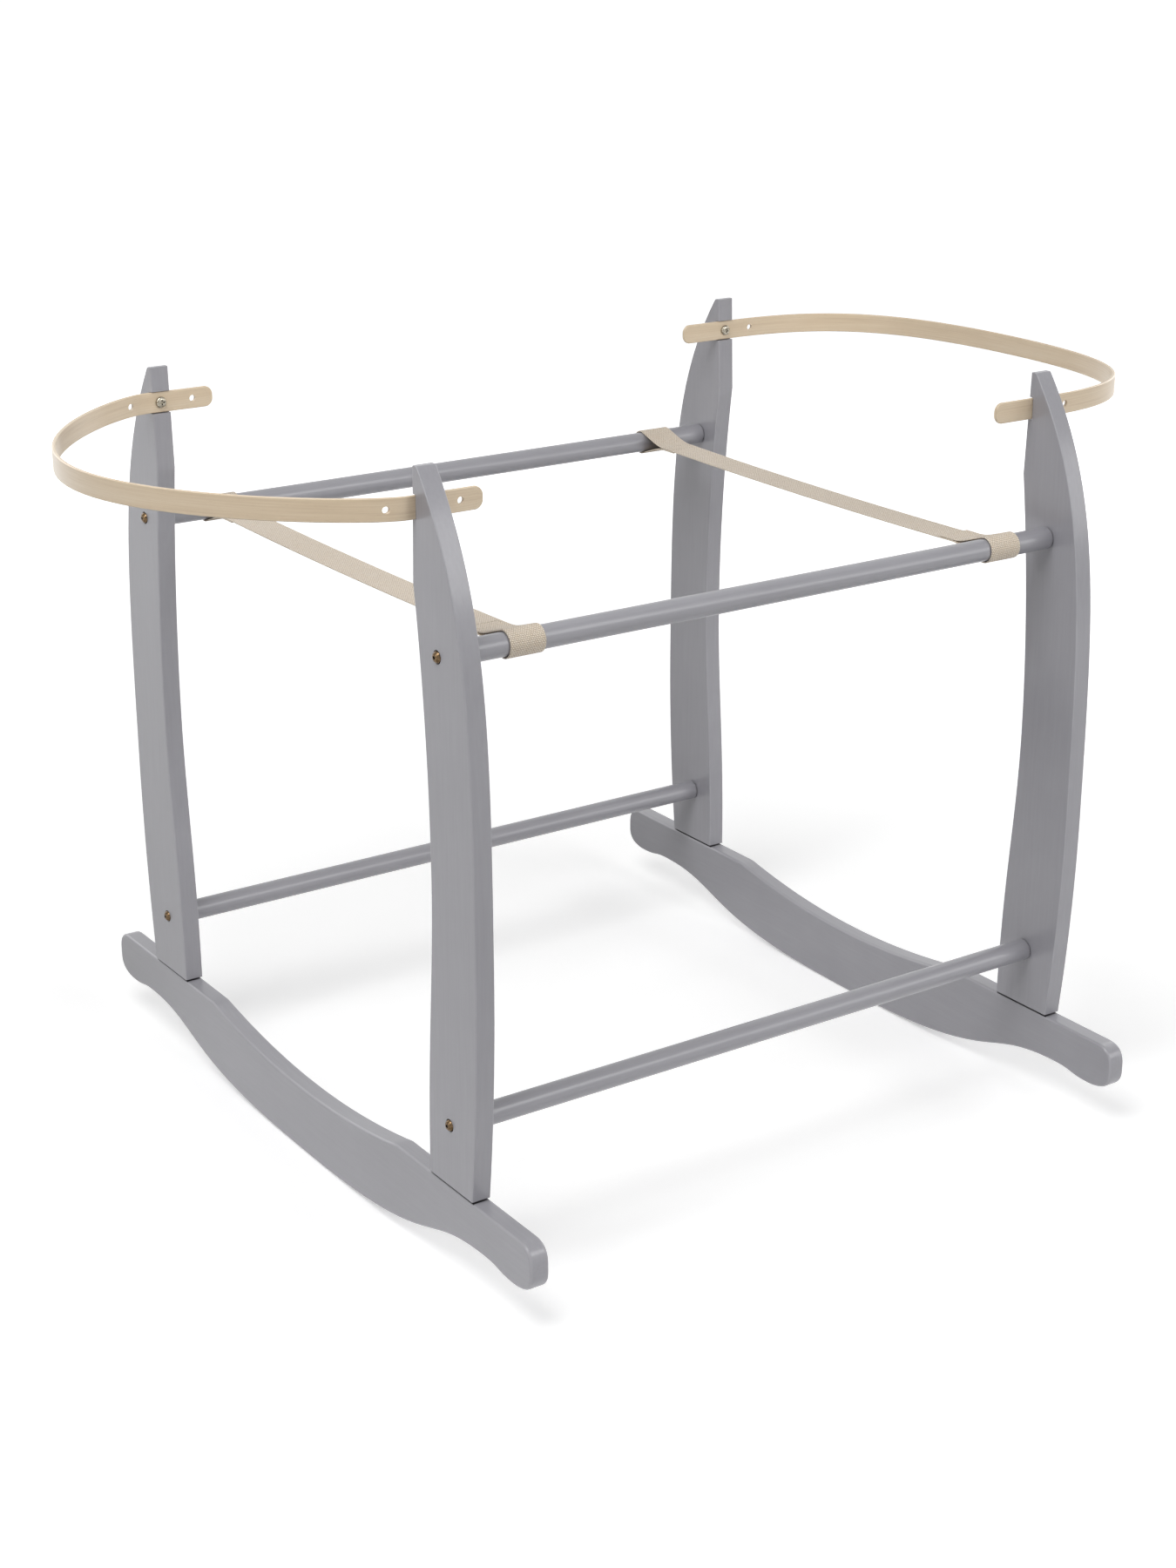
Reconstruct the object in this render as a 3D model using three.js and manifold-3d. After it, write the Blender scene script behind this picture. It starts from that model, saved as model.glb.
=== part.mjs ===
// Rocking stand for a moses basket: two rockers, four curved posts, four round rails,
// two bent wooden hoops that hold the basket's ends and two webbing straps that carry it.
// Units are millimetres. X runs along the rails, Y across the stand, Z is up.
// The origin is on the floor, in the middle of the stand.

import * as THREE from 'three';
import * as BufferGeometryUtils from 'three/addons/utils/BufferGeometryUtils.js';
import Module from 'manifold-3d';

const wasm = await Module();
wasm.setup();

// Clearance between pieces that touch each other
const seatGap = 0.3;

// How many steps or flat faces a round shape is cut into
const bevelSteps = 2;
const outlineSteps = 8;
const railFaces = 20;
const headFaces = 14;
const holeFaces = 12;
const hoopSteps = 15;
const cornerSteps = 4;
const loopSteps = 14;

// Boards that the posts and the rockers are cut from
const standLength = 590;
const boardThickness = 16;
const boardRounding = 3;

// Rockers: outline of the board, seen along X, with insets from its ends
const rockerOverhang = 79.5;
const padHeight = 74;
const dishInset = 51;
const dishDepth = 16;
const rollFlat = 24;
const rollHandle = 202;
const archInset = 64;
const archRise = 3.6;
const archHandle = 92;
const heelInset = 27;
const noseHeight = 40.4;
const noseRadius = 17;

// Posts: outline of the board, seen along X
const postGap = 418;
const footWidth = 60.5;
const postHeight = 544;
const innerBellyHeight = 245;
const innerBellyBulge = 11.7;
const innerBellyHandle = 81;
const innerFootHandle = 110;
const neckHeight = 460;
const neckInset = 3.6;
const outerBellyHeight = 185;
const outerBellyBulge = 10.5;
const shoulderHandle = 180;
const tipHandle = 88;
const tipSlope = 0.72;
const tipInset = 0.5;
const tipFlat = 5;

// Round rails, and how far each one's axis lies from the posts' inner edge
const railDiameter = 18;
const railEndRounding = 1.2;
const upperRailHeight = 488;
const upperRailSetback = 25;
const lowerRailHeight = 126.5;
const lowerRailSetback = 29.5;

// Bolts through the posts, and the threaded inserts in the rails' ends
const boltDiameter = 6;
const boltLength = 26;
const boltHeadDiameter = 10.4;
const boltHeadHeight = 3.2;
const boltHeadRim = 1.4;
const boltCrownDiameter = 5.8;
const boltSeatDepth = 4;
const boltSocketAcross = 4;
const boltSocketDepth = 2.2;
const boltHoleClearance = 0.6;
const boltTipChamfer = 0.8;
const boltTipRoom = 3;
const insertDiameter = 8.8;
const insertLength = 13;
const insertRibs = 3;
const insertRibDepth = 0.5;

// Dowels between the posts' feet and the rockers
const dowelDiameter = 8;
const dowelLength = 35;
const dowelSpacing = 30;
const dowelChamfer = 1;

// Bent hoops: a flat strip held in notches in the posts' inner edges
const hoopBelowTop = 29;
const stripWidth = 17;
const stripThickness = 3;
const stripEdge = 0.7;
const stripCorner = 6.5;
const stripTail = 46.5;
const notchDepth = 4.8;
const notchClearance = 0.6;
const hoopOverhang = 157;
const hoopLead = 4;
const hoopHoleDiameter = 5.2;
const hoopHolePitch = 28.5;
const hoops = {
  left: { alongHandle: 32, acrossHandle: 116, spareHoles: [-1, 1] },
  right: { alongHandle: 112, acrossHandle: 146, spareHoles: [1] },
};

// Pan head screws that hold the hoops
const screwDiameter = 4;
const screwLength = 16;
const screwHeadDiameter = 9;
const screwHeadHeight = 2.7;
const screwHeadRim = 0.9;
const screwCrownDiameter = 4.8;
const screwPointLength = 3;
const crossLength = 4.6;
const crossWidth = 1.1;
const crossDepth = 1.3;

// Webbing straps across the two upper rails
const webbingWidth = 30;
const webbingThickness = 1.5;
const webbingInset = 53;
const webbingSag = 2;
const loopReach = 30;
const hemLength = 22;
const straps = {
  left: { frontHem: 'under', rearHem: 'under' },
  right: { frontHem: 'over', rearHem: 'under' },
};

// Sizes that follow from the ones above
const postInnerFace = standLength / 2 - boardThickness;
const postCentre = standLength / 2 - boardThickness / 2;
const postBase = padHeight + seatGap;
const standHeight = postBase + postHeight;
const hoopHeight = standHeight - hoopBelowTop;
const footInner = postGap / 2;
const footOuter = footInner + footWidth;
const rockerTip = footOuter + rockerOverhang;
const hoopReach = standLength / 2 + hoopOverhang;
const webbingPlace = postInnerFace - webbingInset;
const boltHoleDiameter = boltDiameter + boltHoleClearance;
const railRadius = railDiameter / 2;

const axis = {
  x: new THREE.Vector3(1, 0, 0),
  y: new THREE.Vector3(0, 1, 0),
  z: new THREE.Vector3(0, 0, 1),
};

// Finishes
const finishes = {
  paint: { color: 0xa2a1a7, roughness: 0.45, metalness: 0 },
  cane: { color: 0xcfb99b, roughness: 0.4, metalness: 0 },
  webbing: { color: 0xd3c2b0, roughness: 0.95, metalness: 0 },
  brass: { color: 0xb08d57, roughness: 0.3, metalness: 1 },
  nickel: { color: 0xb9b7b0, roughness: 0.3, metalness: 1 },
  zinc: { color: 0xa7a9aa, roughness: 0.4, metalness: 1 },
  beech: { color: 0xd2b48c, roughness: 0.7, metalness: 0 },
};

// Turns a geometry into a solid that can be joined and cut
function solid(geometry) {
  const bare = geometry.clone();
  bare.deleteAttribute('normal');
  bare.deleteAttribute('uv');
  const merged = BufferGeometryUtils.mergeVertices(bare, 1e-4);
  const corners = merged.index.array;
  const faces = [];
  for (let k = 0; k < corners.length; k += 3) {
    const [a, b, c] = corners.slice(k, k + 3);
    // a face on a turned piece's axis can have no area
    if (a !== b && b !== c && c !== a) {
      faces.push(a, b, c);
    }
  }
  return new wasm.Manifold(new wasm.Mesh({
    numProp: 3,
    vertProperties: new Float32Array(merged.attributes.position.array),
    triVerts: new Uint32Array(faces),
  }));
}

// Turns a solid back into a geometry
function geometryOf(body) {
  const mesh = body.getMesh();
  const geometry = new THREE.BufferGeometry();
  geometry.setAttribute('position', new THREE.BufferAttribute(mesh.vertProperties, 3));
  geometry.setIndex(new THREE.BufferAttribute(mesh.triVerts, 1));
  geometry.computeVertexNormals();
  return geometry;
}

// Cuts every tool out of a geometry
function cut(geometry, tools) {
  return geometryOf(tools.reduce((body, tool) => body.subtract(solid(tool)), solid(geometry)));
}

// A board with rounded edges: the outline is drawn in Y and Z, and the board lies along X
function board(outline, fromX, thickness, rounding) {
  const geometry = new THREE.ExtrudeGeometry(outline, {
    depth: thickness - 2 * rounding,
    bevelEnabled: rounding > 0,
    bevelThickness: rounding,
    bevelSize: rounding,
    bevelOffset: -rounding,
    bevelSegments: bevelSteps,
    curveSegments: outlineSteps,
  });
  geometry.translate(0, 0, rounding);
  geometry.applyMatrix4(new THREE.Matrix4().makeBasis(axis.y, axis.z, axis.x));
  geometry.translate(fromX, 0, 0);
  return geometry;
}

// A turned piece along X: the profile lists [place along X, radius] from left to right
function turned(profile, segments) {
  const points = profile.map(([along, radius]) => new THREE.Vector2(radius, along));
  const geometry = new THREE.LatheGeometry(points, segments);
  geometry.applyMatrix4(new THREE.Matrix4().makeBasis(axis.y, axis.x, axis.z.clone().negate()));
  return geometry;
}

// A plain round bar along X, used as a piece or as a drill
function bar(fromX, toX, diameter, segments) {
  return turned([[fromX, 0], [fromX, diameter / 2], [toX, diameter / 2], [toX, 0]], segments);
}

// A box between two corners
function block(low, high) {
  const geometry = new THREE.BoxGeometry(high[0] - low[0], high[1] - low[1], high[2] - low[2]);
  geometry.translate((low[0] + high[0]) / 2, (low[1] + high[1]) / 2, (low[2] + high[2]) / 2);
  return geometry;
}

// Outline of a post of the rear side, with Y across and Z from the floor
function postOutline() {
  const outer = footOuter;
  const tipInner = footInner - tipInset;
  // the tip's outer corner is cut off as deep as the board's edges are rounded
  const tipOuter = tipInner + tipFlat + boardRounding;
  const tipShoulder = postHeight - boardRounding;
  const point = (y, height) => [y, postBase + height];
  const outline = new THREE.Shape();
  outline.moveTo(...point(footInner, 0));
  outline.lineTo(...point(outer, 0));
  outline.quadraticCurveTo(
    ...point(outer + outerBellyBulge, outerBellyHeight / 2),
    ...point(outer + outerBellyBulge, outerBellyHeight),
  );
  outline.bezierCurveTo(
    ...point(outer + outerBellyBulge, outerBellyHeight + shoulderHandle),
    ...point(tipOuter + tipHandle * tipSlope, tipShoulder - tipHandle),
    ...point(tipOuter, tipShoulder),
  );
  outline.lineTo(...point(tipInner + tipFlat, postHeight));
  outline.lineTo(...point(tipInner, postHeight));
  outline.lineTo(...point(footInner - neckInset, neckHeight));
  outline.quadraticCurveTo(
    ...point(footInner + innerBellyBulge, (neckHeight + innerBellyHeight) / 2),
    ...point(footInner + innerBellyBulge, innerBellyHeight),
  );
  outline.bezierCurveTo(
    ...point(footInner + innerBellyBulge, innerBellyHeight - innerBellyHandle),
    ...point(footInner, innerFootHandle),
    ...point(footInner, 0),
  );
  return outline;
}

// How far the posts' inner edge lies from the middle of the stand at a height above the floor
function innerEdgeAt(height) {
  const points = postOutline().getPoints(2 * outlineSteps);
  const crossings = [];
  points.forEach((start, index) => {
    const end = points[(index + 1) % points.length];
    if ((start.y - height) * (end.y - height) < 0) {
      const share = (height - start.y) / (end.y - start.y);
      crossings.push(start.x + share * (end.x - start.x));
    }
  });
  return Math.min(...crossings);
}

const upperRailY = innerEdgeAt(upperRailHeight) + upperRailSetback;
const lowerRailY = innerEdgeAt(lowerRailHeight) + lowerRailSetback;
const notchFloor = innerEdgeAt(hoopHeight) + notchDepth;
const stripY = notchFloor - seatGap - stripThickness / 2;
const dowelMiddle = (footInner + footOuter) / 2;
const dowelPlaces = { inner: dowelMiddle - dowelSpacing / 2, outer: dowelMiddle + dowelSpacing / 2 };
const rails = [
  { level: 'upper', y: upperRailY, z: upperRailHeight },
  { level: 'lower', y: lowerRailY, z: lowerRailHeight },
];

// A rail's end: half its length, and the bores for its insert and for the bolt's tip
const railHalf = postInnerFace - seatGap;
const insertBore = insertDiameter / 2 + seatGap;
const insertRoom = insertLength + 2 * seatGap;
const boltReach = boltLength + boltSeatDepth - boardThickness - seatGap;
const boreDepth = Math.max(insertRoom + seatGap, boltReach + boltTipRoom);

// The webbing's run round a rail: it leaves the rail where its two layers lean together
const loopRadius = railRadius + seatGap;
const lean = Math.asin(loopRadius / loopReach);
const meet = upperRailY - loopReach;
const hemEnd = meet - hemLength;

// A rear post; hand is -1 for the left end and 1 for the right end
function post(hand) {
  const fromX = hand < 0 ? -standLength / 2 : postInnerFace;
  const blank = board(postOutline(), fromX, boardThickness, boardRounding);
  const outerFace = hand * standLength / 2;
  const tools = [];
  for (const rail of rails) {
    const seat = bar(-boltSeatDepth, boltSeatDepth, boltHeadDiameter + 2 * seatGap, headFaces);
    seat.translate(outerFace, rail.y, rail.z);
    const hole = bar(-2 * boardThickness, 2 * boardThickness, boltHoleDiameter, holeFaces);
    hole.translate(outerFace, rail.y, rail.z);
    tools.push(seat, hole);
  }
  const halfNotch = (stripWidth + notchClearance) / 2;
  tools.push(block(
    [hand * postCentre - boardThickness, 0, hoopHeight - halfNotch],
    [hand * postCentre + boardThickness, notchFloor, hoopHeight + halfNotch],
  ));
  const pilot = bar(-seatGap, screwLength, screwDiameter + 2 * seatGap, holeFaces);
  pilot.applyMatrix4(new THREE.Matrix4().makeRotationZ(Math.PI / 2));
  pilot.translate(hand * postCentre, notchFloor, hoopHeight);
  tools.push(pilot);
  for (const y of Object.values(dowelPlaces)) {
    tools.push(dowelHole(hand, y));
  }
  return cut(blank, tools);
}

// The drill for one dowel, through the seam between foot and rocker
function dowelHole(hand, y) {
  const depth = dowelLength / 2 + seatGap;
  const drill = bar(-depth, depth, dowelDiameter + 2 * seatGap, holeFaces);
  drill.applyMatrix4(new THREE.Matrix4().makeRotationY(Math.PI / 2));
  drill.translate(hand * postCentre, y, padHeight);
  return drill;
}

// Outline of a rocker, seen along X
function rockerOutline() {
  const flat = rollFlat / 2;
  const dish = footInner - dishInset;
  const arch = rockerTip - archInset;
  const heel = rockerTip - heelInset;
  const heelHeight = padHeight - noseHeight;
  const archHeight = heelHeight + archRise;
  const bend = (heel - arch) / 2;
  const nose = rockerTip - noseRadius;
  const outline = new THREE.Shape();
  outline.moveTo(-flat, 0);
  outline.lineTo(flat, 0);
  outline.bezierCurveTo(flat + rollHandle, 0, arch - archHandle, archHeight, arch, archHeight);
  outline.bezierCurveTo(arch + bend, archHeight, heel - bend, heelHeight, heel, heelHeight);
  outline.quadraticCurveTo(rockerTip, heelHeight, rockerTip, heelHeight + noseRadius);
  outline.lineTo(rockerTip, padHeight - noseRadius);
  outline.quadraticCurveTo(rockerTip, padHeight, nose, padHeight);
  outline.lineTo(dish, padHeight);
  outline.quadraticCurveTo(0, padHeight - 2 * dishDepth, -dish, padHeight);
  outline.lineTo(-nose, padHeight);
  outline.quadraticCurveTo(-rockerTip, padHeight, -rockerTip, padHeight - noseRadius);
  outline.lineTo(-rockerTip, heelHeight + noseRadius);
  outline.quadraticCurveTo(-rockerTip, heelHeight, -heel, heelHeight);
  outline.bezierCurveTo(-heel + bend, heelHeight, -arch - bend, archHeight, -arch, archHeight);
  outline.bezierCurveTo(-arch + archHandle, archHeight, -flat - rollHandle, 0, -flat, 0);
  return outline;
}

function rocker(hand) {
  const fromX = hand < 0 ? -standLength / 2 : postInnerFace;
  const blank = board(rockerOutline(), fromX, boardThickness, boardRounding);
  const tools = [];
  for (const side of [-1, 1]) {
    for (const y of Object.values(dowelPlaces)) {
      tools.push(dowelHole(hand, side * y));
    }
  }
  return cut(blank, tools);
}

// A rail along X, bored at both ends for its insert and for the bolt's tip
function rail() {
  const end = (sign) => [
    [sign * (railHalf - boreDepth), 0],
    [sign * (railHalf - boreDepth), boltHoleDiameter / 2],
    [sign * (railHalf - insertRoom), boltHoleDiameter / 2],
    [sign * (railHalf - insertRoom), insertBore],
    [sign * railHalf, insertBore],
    [sign * railHalf, railRadius - railEndRounding],
    [sign * (railHalf - railEndRounding), railRadius],
  ];
  return turned([...end(-1), ...end(1).reverse()], railFaces);
}

// A threaded insert with ribs that grip the wood, its open end at x = 0 and its body towards -X
function insert() {
  const outer = insertDiameter / 2;
  const groove = outer - insertRibDepth;
  const bore = boltHoleDiameter / 2;
  const pitch = insertLength / insertRibs;
  const profile = [[-insertLength, bore], [-insertLength, groove]];
  for (let rib = insertRibs - 1; rib > 0; rib -= 1) {
    profile.push([-rib * pitch, outer], [insertRibDepth - rib * pitch, groove]);
  }
  profile.push([0, outer], [0, bore], [-insertLength, bore]);
  return turned(profile, holeFaces);
}

// Profile of a low domed head: its seat is at x = 0, its rim stands up and its crown is flat
function domedHead(diameter, height, rim, crownDiameter) {
  const radius = diameter / 2;
  const crown = crownDiameter / 2;
  const slope = Math.SQRT1_2;
  return [
    [0, radius],
    [rim, radius],
    [rim + (height - rim) * slope, crown + (radius - crown) * slope],
    [height, crown],
    [height, 0],
  ];
}

// A bolt with a hexagon socket; the head's seat is at x = 0, the shank on -X
function bolt() {
  const shank = boltDiameter / 2;
  const body = turned([
    [-boltLength, 0],
    [-boltLength, shank - boltTipChamfer],
    [-boltLength + boltTipChamfer, shank],
    [0, shank],
    ...domedHead(boltHeadDiameter, boltHeadHeight, boltHeadRim, boltCrownDiameter),
  ], headFaces);
  const acrossCorners = boltSocketAcross / Math.cos(Math.PI / 6);
  const bottom = boltHeadHeight - boltSocketDepth;
  const socket = bar(bottom, boltHeadHeight + boltSocketDepth, acrossCorners, 6);
  return cut(body, [socket]);
}

// A pan head screw with a crossed slot; the head's seat is at x = 0, the shank on -X
function panScrew() {
  const shank = screwDiameter / 2;
  const body = turned([
    [-screwLength, 0],
    [-screwLength + screwPointLength, shank],
    [0, shank],
    ...domedHead(screwHeadDiameter, screwHeadHeight, screwHeadRim, screwCrownDiameter),
  ], headFaces);
  const low = screwHeadHeight - crossDepth;
  const high = screwHeadHeight + crossDepth;
  return cut(body, [
    block([low, -crossLength / 2, -crossWidth / 2], [high, crossLength / 2, crossWidth / 2]),
    block([low, -crossWidth / 2, -crossLength / 2], [high, crossWidth / 2, crossLength / 2]),
  ]);
}

// An upright dowel, its middle at the origin
function dowel() {
  const half = dowelLength / 2;
  const radius = dowelDiameter / 2;
  const upright = turned([
    [-half, 0],
    [-half, radius - dowelChamfer],
    [-half + dowelChamfer, radius],
    [half - dowelChamfer, radius],
    [half, radius - dowelChamfer],
    [half, 0],
  ], holeFaces);
  return upright.rotateY(Math.PI / 2);
}

// Middle line of a hoop's strip, seen from above, from its rear end to its front end.
// The bend leaves the posts along X, and its handles say how full or pointed it is.
function hoopLine(hand, bend) {
  const start = standLength / 2 + hoopLead;
  const tail = postCentre - stripTail;
  const reach = hoopReach + stripThickness / 2;
  const quarter = new THREE.CubicBezierCurve(
    new THREE.Vector2(start, stripY),
    new THREE.Vector2(start + bend.alongHandle, stripY),
    new THREE.Vector2(reach, bend.acrossHandle),
    new THREE.Vector2(reach, 0),
  ).getSpacedPoints(hoopSteps);
  const corner = Array.from({ length: cornerSteps + 1 }, (_, step) => {
    const turn = (Math.PI / 2) * (step / cornerSteps);
    return new THREE.Vector2(tail + stripCorner * (1 - Math.cos(turn)), stripY);
  });
  const rear = [...corner, ...quarter].map(({ x, y }) => new THREE.Vector3(hand * x, y, hoopHeight));
  const front = rear.slice(0, -1).reverse().map(({ x, y, z }) => new THREE.Vector3(x, -y, z));
  return [...rear, ...front];
}

// Corners of a hoop's section, as [across the strip's thickness, up], where the strip is halfWide
function stripSection(halfWide) {
  const face = stripThickness / 2;
  return [
    [face, halfWide - stripEdge], [face - stripEdge, halfWide],
    [-face + stripEdge, halfWide], [-face, halfWide - stripEdge],
    [-face, -halfWide + stripEdge], [-face + stripEdge, -halfWide],
    [face - stripEdge, -halfWide], [face, -halfWide + stripEdge],
  ];
}

// A strip bent along a line, with rounded corners at both ends and its screw holes
function hoop(hand, bend) {
  const line = hoopLine(hand, bend);
  const along = [0];
  for (let k = 1; k < line.length; k += 1) {
    along.push(along[k - 1] + line[k].distanceTo(line[k - 1]));
  }
  const positions = [];
  line.forEach((point, k) => {
    const before = line[Math.max(k - 1, 0)];
    const after = line[Math.min(k + 1, line.length - 1)];
    const forward = after.clone().sub(before).normalize();
    const across = new THREE.Vector3().crossVectors(axis.z, forward);
    const fromEnd = Math.min(along[k], along[along.length - 1] - along[k], stripCorner);
    const cornerDrop = stripCorner - Math.sqrt(stripCorner ** 2 - (stripCorner - fromEnd) ** 2);
    for (const [out, up] of stripSection(stripWidth / 2 - cornerDrop)) {
      const corner = point.clone().addScaledVector(across, out).addScaledVector(axis.z, up);
      positions.push(corner.x, corner.y, corner.z);
    }
  });
  const sides = stripSection(stripWidth / 2).length;
  const last = (line.length - 1) * sides;
  const faces = [];
  for (let ring = 0; ring < last; ring += sides) {
    for (let k = 0; k < sides; k += 1) {
      const a = ring + k;
      const b = ring + (k + 1) % sides;
      faces.push(a, b, a + sides);
      faces.push(b, b + sides, a + sides);
    }
  }
  for (let k = 1; k < sides - 1; k += 1) {
    faces.push(0, k + 1, k);
    faces.push(last, last + k, last + k + 1);
  }
  const geometry = new THREE.BufferGeometry();
  geometry.setAttribute('position', new THREE.Float32BufferAttribute(positions, 3));
  geometry.setIndex(faces);
  const drills = [];
  for (const side of [-1, 1]) {
    for (const step of [0, ...bend.spareHoles]) {
      const drill = bar(-hoopHolePitch, hoopHolePitch, hoopHoleDiameter, headFaces);
      drill.applyMatrix4(new THREE.Matrix4().makeRotationZ(Math.PI / 2));
      drill.translate(hand * (postCentre + step * hoopHolePitch), side * stripY, hoopHeight);
      drills.push(drill);
    }
  }
  return cut(geometry, drills);
}

// The round part of a webbing loop about a rail, as [across, up] from above the rail to below it
function arc(radius) {
  const widest = Math.PI / 2 + lean;
  return Array.from({ length: loopSteps + 1 }, (_, step) => {
    const angle = widest - 2 * widest * step / loopSteps;
    return [upperRailY + radius * Math.cos(angle), radius * Math.sin(angle)];
  });
}

// One end of a strap, seen along X: round the rail and sewn to itself, listed in the outline's order.
// side is -1 at the front and 1 at the rear; hem says if the sewn end lies under or over the band.
function loopEnd(side, hem) {
  const under = hem === 'under' ? 1 : -1;
  const fold = meet - webbingThickness * Math.tan(lean / 2);
  const points = [
    [hemEnd, webbingThickness],
    [fold, webbingThickness],
    ...arc(loopRadius + webbingThickness),
    [fold, -webbingThickness],
    [hemEnd, -webbingThickness],
    [hemEnd, 0],
  ].map(([y, z]) => new THREE.Vector2(side * y, upperRailHeight + under * z));
  return side * under > 0 ? points : points.reverse();
}

// A strap: one band of webbing from rail to rail, with a slight sag in its middle
function strap(hems) {
  const rear = loopEnd(1, hems.rearHem);
  const front = loopEnd(-1, hems.frontHem);
  const bottoms = [rear[rear.length - 1], front[0]];
  const tops = [front[front.length - 1], rear[0]];
  const middle = ([from, to]) => (from.y + to.y) / 2 - 2 * webbingSag;
  const outline = new THREE.Shape();
  outline.setFromPoints(rear);
  outline.quadraticCurveTo(0, middle(bottoms), front[0].x, front[0].y);
  front.slice(1).forEach((point) => outline.lineTo(point.x, point.y));
  outline.quadraticCurveTo(0, middle(tops), rear[0].x, rear[0].y);
  for (const side of [1, -1]) {
    const inner = [[meet, 0], ...arc(loopRadius)];
    const hole = inner.map(([y, z]) => new THREE.Vector2(side * y, upperRailHeight + z));
    // a hole runs the other way round than the outline
    outline.holes.push(new THREE.Path(side > 0 ? hole.reverse() : hole));
  }
  return board(outline, -webbingWidth / 2, webbingWidth, 0);
}

// Puts a named piece into the model
const stand = new THREE.Group();

function place(name, geometry, finish, position = [0, 0, 0], turn = 0) {
  const mesh = new THREE.Mesh(geometry, new THREE.MeshStandardMaterial(finishes[finish]));
  mesh.name = name;
  mesh.position.set(...position);
  mesh.rotation.z = turn;
  stand.add(mesh);
}

const ends = { left: -1, right: 1 };
const fronts = { front: -1, rear: 1 };

for (const [end, hand] of Object.entries(ends)) {
  place(`rocker_${end}`, rocker(hand), 'paint');
  place(`hoop_${end}`, hoop(hand, hoops[end]), 'cane');
  place(`strap_${end}`, strap(straps[end]), 'webbing', [hand * webbingPlace, 0, 0]);
}

const boltPiece = bolt();
const insertPiece = insert();
const screwPiece = panScrew();
const dowelPiece = dowel();

for (const [side, front] of Object.entries(fronts)) {
  for (const [end, hand] of Object.entries(ends)) {
    const corner = `${side}_${end}`;
    // a front post is the other end's rear post, turned half a turn
    place(`post_${corner}`, post(hand * front), 'paint', [0, 0, 0], front > 0 ? 0 : Math.PI);
    for (const run of rails) {
      const y = front * run.y;
      const outward = hand > 0 ? 0 : Math.PI;
      const seatX = hand * (standLength / 2 - boltSeatDepth + seatGap);
      const insertX = hand * (railHalf - seatGap);
      place(`bolt_${run.level}_${corner}`, boltPiece, 'brass', [seatX, y, run.z], outward);
      place(`insert_${run.level}_${corner}`, insertPiece, 'zinc', [insertX, y, run.z], outward);
    }
    const screwY = front * (stripY - stripThickness / 2 - seatGap);
    const inward = -front * Math.PI / 2;
    place(`screw_hoop_${corner}`, screwPiece, 'nickel', [hand * postCentre, screwY, hoopHeight], inward);
    for (const [which, y] of Object.entries(dowelPlaces)) {
      place(`dowel_${which}_${corner}`, dowelPiece, 'beech', [hand * postCentre, front * y, padHeight]);
    }
  }
  for (const run of rails) {
    place(`rail_${run.level}_${side}`, rail(), 'paint', [0, front * run.y, run.z]);
  }
}

export default stand;
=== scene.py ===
# %% [markdown]
# # A rocking stand for a moses basket
#
# The stand is made of painted boards and round rails. Two bent wooden hoops close its ends, and
# two webbing straps carry the basket. Its construction is already there as a frame of plain
# solids. This lesson gives each piece its fine shape and its finish, and never moves the frame.

# %% Load the frame
import math

import bmesh
import bpy
import numpy as np
from mathutils import Matrix, Vector


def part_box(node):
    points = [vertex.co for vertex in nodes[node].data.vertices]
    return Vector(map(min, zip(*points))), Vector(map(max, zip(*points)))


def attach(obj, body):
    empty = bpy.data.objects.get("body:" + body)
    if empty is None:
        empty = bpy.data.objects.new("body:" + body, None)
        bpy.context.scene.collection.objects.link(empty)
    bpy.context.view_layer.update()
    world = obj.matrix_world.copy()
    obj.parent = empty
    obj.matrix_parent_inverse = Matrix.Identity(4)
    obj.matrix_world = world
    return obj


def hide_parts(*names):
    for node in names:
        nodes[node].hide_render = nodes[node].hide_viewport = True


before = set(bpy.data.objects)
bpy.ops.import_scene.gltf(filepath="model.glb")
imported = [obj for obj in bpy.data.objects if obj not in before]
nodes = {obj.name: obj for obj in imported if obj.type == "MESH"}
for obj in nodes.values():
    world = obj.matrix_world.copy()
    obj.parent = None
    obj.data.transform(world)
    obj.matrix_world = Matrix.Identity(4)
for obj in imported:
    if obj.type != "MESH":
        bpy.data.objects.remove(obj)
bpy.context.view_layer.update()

MM = 0.001
ENDS = {"left": -1, "right": 1}
SIDES = {"front": -1, "rear": 1}
CORNERS = [(side, end, front, hand) for side, front in SIDES.items() for end, hand in ENDS.items()]

# %% [markdown]
# ## The camera
#
# The photograph was taken from a little above and from the front left. A camera is described by
# where it stands, the compass direction it looks in, how far it looks down, and how long its lens
# is. The frame is portrait, so Blender's 36 mm sensor spans its height.

# %% Camera
PICTURE_HEIGHT = 1800
FOCAL_PIXELS = 2980.4
SENSOR = 36.0
camera_place = Vector((-1.1717, -1.7181, 1.0243))
heading = math.radians(34.09)
look_down = math.radians(20.13)
roll = math.radians(-0.091)

# A camera at first looks straight down: it is rolled, tilted up and turned to its heading.
aimed = Matrix.Rotation(-heading, 4, "Z") @ Matrix.Rotation(math.pi / 2 - look_down, 4, "X")

camera = bpy.data.objects.new("camera", bpy.data.cameras.new("camera"))
bpy.context.scene.collection.objects.link(camera)
camera.data.sensor_width = SENSOR
camera.data.lens = FOCAL_PIXELS / PICTURE_HEIGHT * SENSOR
camera.matrix_world = Matrix.Translation(camera_place) @ aimed @ Matrix.Rotation(roll, 4, "Z")
bpy.context.scene.camera = camera
print("camera: a lens of", round(camera.data.lens, 1), "mm")

# %% [markdown]
# ## Helpers for node trees
#
# Materials and Geometry Nodes are both trees of nodes. One helper adds a node, sets its options
# and links or fills in each input. The others name the kinds of node that come back often, so that
# every tree below stays short.


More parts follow.
